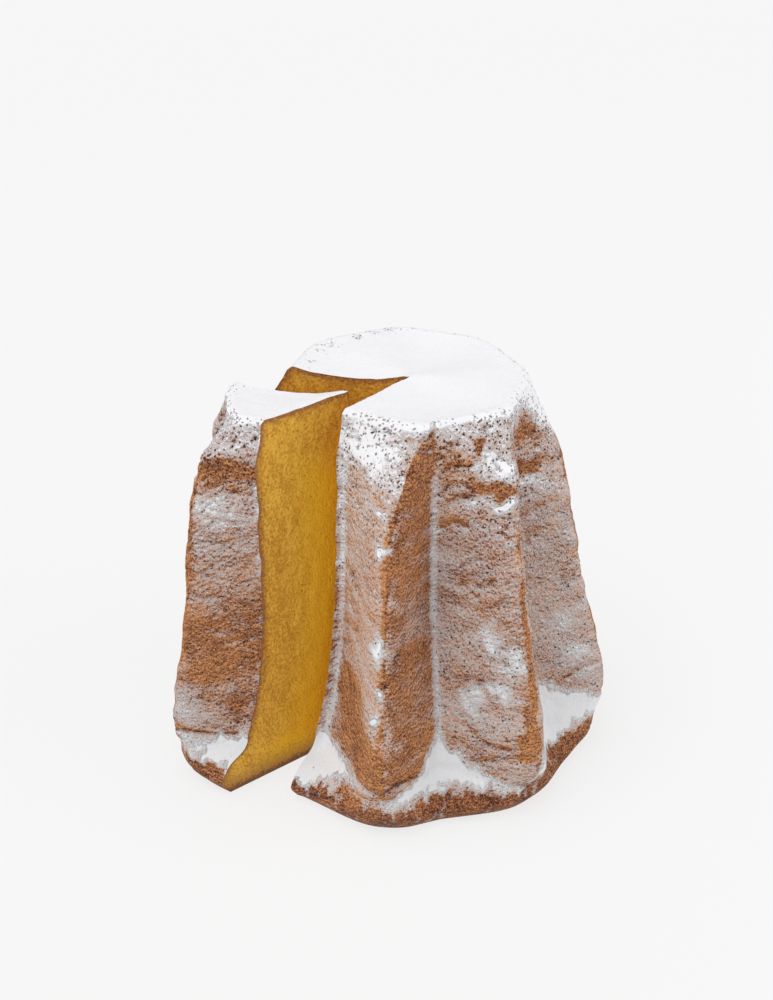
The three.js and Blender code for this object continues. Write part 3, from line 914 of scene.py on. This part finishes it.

# %% [markdown]
# ### Baked crust
#
# The crust is the same dough, browned by the mould: orange brown where it was thin and moist. In
# cracks it is painted darker, up to almost black, as painted shade. One number, how far it is baked
# plus the painted shade, picks the colour from a ramp. Its skin is full of pinholes where bubbles met
# the mould, and the open ones are painted darker as painted shade. A Voronoi pattern with its cells
# pushed about by noise gives holes of many shapes. Each cell has its own random number, and only
# those below `Pitted` are open.

# %% Group: baked crust
BROWNS = [(0.0, (0.64, 0.31, 0.115)), (0.3, (0.46, 0.19, 0.068)), (0.55, (0.31, 0.11, 0.044)),
          (0.8, (0.14, 0.045, 0.021)), (1.0, (0.05, 0.018, 0.011))]
baked, given, gives = new_group(
    "Baked crust", {"Bake": "Float", "Pitted": "Float", "Up": "Float", "Position": "Vector"},
    {"Colour": "Color", "Pits": "Float"})
mottle = blobs(baked, given["Position"], 7.0, 3.0, 0.6)
specks = blobs(baked, given["Position"], 0.8, 2.0, 0.7)
push = add(baked, "TexNoise", {"Vector": given["Position"], "Scale": 0.7, "Detail": 2.0})
pushed = add(baked, "VectorMath", {0: push.outputs["Color"], 1: (1.8, 1.8, 1.8), 2: given["Position"]},
             operation="MULTIPLY_ADD").outputs[0]
cells = add(baked, "TexVoronoi", {"Vector": pushed, "Scale": 0.6}).outputs
draw = add(baked, "SeparateColor", {0: cells["Color"]}).outputs[0]
is_open = calc(baked, "LESS_THAN", draw, given["Pitted"])
across = calc(baked, "MULTIPLY_ADD", draw, 0.35, 0.2)
hole = between(baked, calc(baked, "DIVIDE", cells["Distance"], across), 0.4, 1.0, 1.0, 0.0)
pits = calc(baked, "MULTIPLY", hole, is_open)
bake_and_shade = calc(baked, "MULTIPLY_ADD", centred(baked, mottle), 0.5, given["Bake"])
bake_and_shade = calc(baked, "MULTIPLY_ADD", centred(baked, specks), 2.6, bake_and_shade)
# Painted shade and light: flakes that face down are painted darker, those that face up paler.
bake_and_shade = calc(baked, "MULTIPLY_ADD", given["Up"], -0.6, bake_and_shade)
# Painted shade: open pinholes are painted darker.
bake_and_shade = calc(baked, "MULTIPLY_ADD", pits, 0.42, bake_and_shade)
ramp = add(baked, "ValToRGB", {"Fac": bake_and_shade})
for k, (place, colour) in enumerate(BROWNS):
    stop = ramp.color_ramp.elements[k] if k < 2 else ramp.color_ramp.elements.new(place)
    stop.position, stop.color = place, (*colour, 1)
baked.links.new(ramp.outputs["Color"], gives["Colour"])
baked.links.new(pits, gives["Pits"])
print("baked crust has", len(baked.nodes), "nodes")

# %% [markdown]
# ### Crumb
#
# Pandoro crumb is golden from its egg yolks. It has small pores, which are drawn upwards and painted
# darker as painted shade, and soft clouds of lighter and darker yellow. Deep in the cut it is painted
# brighter and more orange, as painted bounce light. Towards the skin it turns brown over a few
# millimetres, and the foot, which lay open to the oven's heat, has a thicker dark layer.

# %% Group: crumb
crumb, given, gives = new_group(
    "Crumb", {"From skin": "Float", "From base": "Float", "Position": "Vector"},
    {"Colour": "Color", "Height": "Float"})
drawn_up = stretch(crumb, given["Position"], 1.0, 1.0, 0.9)
pores = blobs(crumb, drawn_up, 1.3, 3.0, 0.7)
holes = add(crumb, "TexVoronoi", {"Vector": drawn_up, "Scale": 0.8}).outputs["Distance"]
near_middle = between(crumb, holes, 0.1, 0.3, 1.0, 0.0)
holes = calc(crumb, "MULTIPLY", near_middle, between(crumb, pores, 0.56, 0.44))
clouds = blobs(crumb, stretch(crumb, given["Position"], 1.0, 1.0, 0.4), 5.0, 2.0, 0.6)
shade = between(crumb, calc(crumb, "MULTIPLY_ADD", clouds, 0.5, pores), 0.58, 0.92)
golden = blend_colours(crumb, shade, (0.63, 0.295, 0.025, 1), (0.93, 0.54, 0.07, 1))
# Painted light: far from the skin the crumb is painted brighter and more orange, for light that bounces
# between the cut faces.
inner = between(crumb, given["From skin"], 12.0, 38.0, 0.0, 0.9)
golden = blend_colours(crumb, inner, golden, (1.0, 0.60, 0.02, 1))
# Painted shade: the pores' holes are painted darker.
golden = blend_colours(crumb, calc(crumb, "MULTIPLY", holes, 0.5), golden, (0.45, 0.17, 0.015, 1))
wobble = calc(crumb, "MULTIPLY_ADD", pores, 7.0, -3.5)
depth = calc(crumb, "ADD", given["From skin"], wobble)
brown = between(crumb, depth, 0.4, 6.0, 0.7, 0.0)
golden = blend_colours(crumb, brown, golden, (0.46, 0.19, 0.035, 1))
edge = between(crumb, depth, 0.0, 2.6, 0.85, 0.0)
golden = blend_colours(crumb, edge, golden, (0.31, 0.125, 0.05, 1))
height_here = calc(crumb, "ADD", given["From base"], wobble)
foot = between(crumb, height_here, 1.6, 5.0, 0.95, 0.0)
warm_foot = between(crumb, height_here, 2.0, 17.0, 0.85, 0.0)
golden = blend_colours(crumb, warm_foot, golden, (0.42, 0.20, 0.045, 1))
golden = blend_colours(crumb, foot, golden, (0.20, 0.085, 0.04, 1))
crumb.links.new(golden, gives["Colour"])
relief = calc(crumb, "MULTIPLY_ADD", holes, -0.35, calc(crumb, "MULTIPLY", pores, 0.8))
crumb.links.new(relief, gives["Height"])
print("crumb has", len(crumb.nodes), "nodes")

# %% [markdown]
# ### The two materials
#
# Each material reads the amounts kept at the points, calls the groups, and feeds one Principled
# shader. Bump gives the relief that is too fine for the mesh. Its distance is one millimetre, so
# the heights that the groups put out are in millimetres too.


# %% Put the groups to work
def start_material(name, roughness):
    material = bpy.data.materials.new(name)
    material.use_nodes = True
    tree = material.node_tree
    shader = tree.nodes["Principled BSDF"]
    shader.inputs["Roughness"].default_value = roughness
    shader.inputs["Specular IOR Level"].default_value = 0.3
    place = stretch(tree, add(tree, "TexCoord").outputs["Object"], 1 / MM, 1 / MM, 1 / MM)
    return material, tree, shader, place


def point_amount(tree, name):
    return add(tree, "Attribute", attribute_name=name).outputs["Fac"]


def bump(tree, shader, height):
    node = add(tree, "Bump", {"Height": height, "Distance": MM, "Strength": 1.0})
    tree.links.new(node.outputs[0], shader.inputs["Normal"])


SUGAR_WHITE = (0.845, 0.845, 0.87, 1)
# Painted shade: the colour of the sugar low down, where less light reaches it.
SUGAR_IN_LOW_SHADE = (0.73, 0.735, 0.75, 1)
BLOOM = (0.80, 0.72, 0.70, 1)
crust_material, tree, shader, place = start_material("Crust under icing sugar", 0.78)
skin_grain = call(tree, grain, {"Position": place})
skin_look = call(tree, baked, {"Bake": point_amount(tree, "bake_and_shade"), "Pitted": point_amount(tree, "pitted"),
                               "Up": skin_grain["Up"], "Position": place})
sugar = point_amount(tree, "sugar")
thinned = calc(tree, "MULTIPLY_ADD", skin_look["Pits"], -0.9, sugar)  # pits stay open
sugar_look = call(tree, dusting, {"Amount": thinned, "Up": skin_grain["Up"], "Position": place})
colour = blend_colours(tree, sugar_look["Bloom"], skin_look["Colour"], BLOOM)
height_here = add(tree, "SeparateXYZ", {0: place}).outputs["Z"]
# Painted shade: the sugar's white is painted greyer lower down, full grey below 40 mm and full white above
# 150 mm, for the shade that falls on the lower sides.
white = blend_colours(tree, between(tree, height_here, 40.0, 150.0), SUGAR_IN_LOW_SHADE, SUGAR_WHITE)
colour = blend_colours(tree, sugar_look["Cover"], colour, white)
tree.links.new(colour, shader.inputs["Base Color"])
flakes_show = between(tree, sugar, 0.75, 1.15, 1.3, 0.1)
relief = calc(tree, "MULTIPLY_ADD", skin_grain["Height"], flakes_show, sugar_look["Height"])
bump(tree, shader, calc(tree, "MULTIPLY_ADD", skin_look["Pits"], -0.8, relief))

crumb_material, tree, shader, place = start_material("Crumb", 0.85)
crumb_look = call(tree, crumb, {"From skin": point_amount(tree, "from_skin"),
                                "From base": point_amount(tree, "from_base"), "Position": place})
tree.links.new(crumb_look["Colour"], shader.inputs["Base Color"])
bump(tree, shader, crumb_look["Height"])

for piece, node in ((cake_piece, "cake"), (slice_piece, "slice")):
    piece.data.materials.append(crust_material)
    piece.data.materials.append(crumb_material)
    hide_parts(node)
    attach(piece, BODY)
print("two materials on two pieces")

# %% [markdown]
# ## Floor, light and camera
#
# The cake stands on a plain pale floor, which glows a little so that shadows on it stay faint. The
# light is soft and comes from all round, with a broad sun overhead and a weak lamp at each side, so
# the top is white and the sides are a little greyer. The camera looks down at about 33 degrees from
# close by, so the sides lean together towards the foot.

# %% Floor
HALF_FLOOR = 5.0
FLOOR_GREY, FLOOR_GLOW = 0.15, 0.745
floor_mesh = bpy.data.meshes.new("floor")
floor_corners = [(x * HALF_FLOOR, y * HALF_FLOOR, 0) for x, y in ((-1, -1), (1, -1), (1, 1), (-1, 1))]
floor_mesh.from_pydata(floor_corners, [], [(0, 1, 2, 3)])
floor = bpy.data.objects.new("floor", floor_mesh)
bpy.context.collection.objects.link(floor)
floor_material = bpy.data.materials.new("Pale floor")
floor_material.use_nodes = True
floor_shader = floor_material.node_tree.nodes["Principled BSDF"]
floor_shader.inputs["Base Color"].default_value = (FLOOR_GREY, FLOOR_GREY, FLOOR_GREY, 1)
floor_shader.inputs["Roughness"].default_value = 0.9
floor_shader.inputs["Emission Color"].default_value = (1.0, 1.0, 1.0, 1)
floor_shader.inputs["Emission Strength"].default_value = FLOOR_GLOW
floor_mesh.materials.append(floor_material)
print("a floor of", 2 * HALF_FLOOR, "m")

# %% Light
world = bpy.data.worlds.new("soft studio")
world.use_nodes = True
world.node_tree.nodes["Background"].inputs["Color"].default_value = (1, 1, 1, 1)
world.node_tree.nodes["Background"].inputs["Strength"].default_value = 0.55
bpy.context.scene.world = world


def add_lamp(name, kind, power, towards, place=(0, 0, 0)):
    data = bpy.data.lights.new(name, kind)
    data.energy = power
    lamp = bpy.data.objects.new(name, data)
    lamp.location = place
    lamp.rotation_euler = towards.to_track_quat("-Z", "Y").to_euler()
    bpy.context.collection.objects.link(lamp)
    return data


sun = add_lamp("soft sun", "SUN", 1.3, Vector((0.35, 0.12, -1.0)))
sun.angle = math.radians(50)
LIT_PLACE = Vector((0, 0, 0.1))
for name, power, place in (("left fill", 4.0, (-0.8, -1.0, 0.7)), ("right fill", 6.0, (1.3, -0.15, 0.6))):
    fill = add_lamp(name, "AREA", power, LIT_PLACE - Vector(place), place)
    fill.size = 0.9
bpy.context.scene.view_settings.view_transform = "Standard"

# %% Camera
DISTANCE, ELEVATION, ROLL = 675.96, math.radians(32.59), math.radians(1.06)
AIM_HEIGHT = 90.0
LENS, SENSOR_WIDTH = 47.57, 36.0
SHIFT_ASIDE, SHIFT_UP = -0.01662, 0.06842
right = Vector((1, 0, 0))
up = Vector((0, math.sin(ELEVATION), math.cos(ELEVATION)))
forward = Vector((0, math.cos(ELEVATION), -math.sin(ELEVATION)))
rolled_right = math.cos(ROLL) * right + math.sin(ROLL) * up
rolled_up = math.cos(ROLL) * up - math.sin(ROLL) * right
stand = Vector((*star_axis, AIM_HEIGHT)) - DISTANCE * forward
camera_data = bpy.data.cameras.new("camera")
camera_data.lens, camera_data.sensor_width = LENS, SENSOR_WIDTH
camera_data.shift_x, camera_data.shift_y = SHIFT_ASIDE, SHIFT_UP
camera = bpy.data.objects.new("camera", camera_data)
turn = Matrix((rolled_right, rolled_up, -forward)).transposed()
camera.matrix_world = Matrix.LocRotScale(stand * MM, turn, None)
bpy.context.collection.objects.link(camera)
bpy.context.scene.camera = camera
print("camera stands at", [round(c, 3) for c in camera.location])
